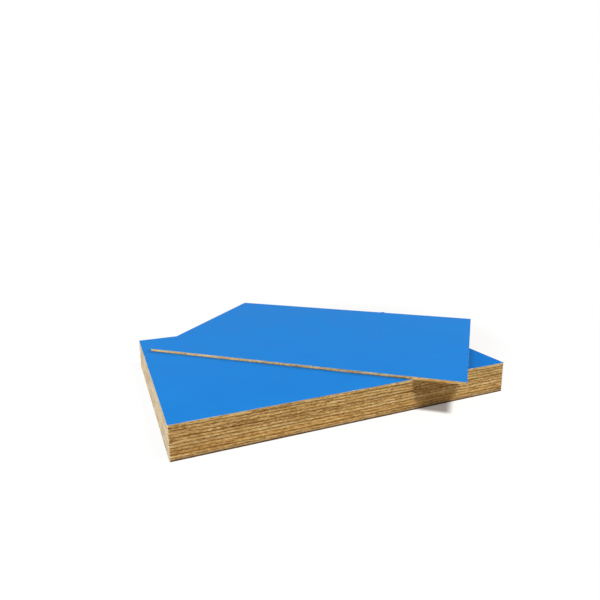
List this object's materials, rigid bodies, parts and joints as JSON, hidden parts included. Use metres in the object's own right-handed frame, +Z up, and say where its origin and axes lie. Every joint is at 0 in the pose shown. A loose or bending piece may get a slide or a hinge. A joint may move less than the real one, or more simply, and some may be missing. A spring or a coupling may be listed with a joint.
{
  "type": "stack of hardboard sheets",
  "caption": "Squared pile of thin rectangular hardboard sheets with blue painted faces and bare brown edges, with one more sheet lying askew on top.",
  "frame": {"origin": "centre of the underside of the pile's lowest sheet, on the floor", "axes": "+X along the long side of the pile, +Y along its short side from front to back, +Z up through the pile"},
  "size_m": [0.3692, 0.354, 0.03],
  "materials": {
    "blue_faced_hardboard": "satin blue paint on the upper face, bare brown fibre edges and underside",
    "hardboard_edge": "bare brown pressed fibre, sawn, with the painted face hidden by the sheet above"
  },
  "bodies": {
    "root": {"pile_sheet_01": "hardboard_edge", "pile_sheet_02": "hardboard_edge", "pile_sheet_03": "hardboard_edge", "pile_sheet_04": "hardboard_edge", "pile_sheet_05": "hardboard_edge", "pile_sheet_06": "hardboard_edge", "pile_sheet_07": "hardboard_edge", "pile_sheet_08": "hardboard_edge", "pile_sheet_09": "hardboard_edge", "pile_sheet_10": "hardboard_edge", "pile_sheet_11": "blue_faced_hardboard", "askew_sheet": "blue_faced_hardboard"}
  },
  "joints": []
}
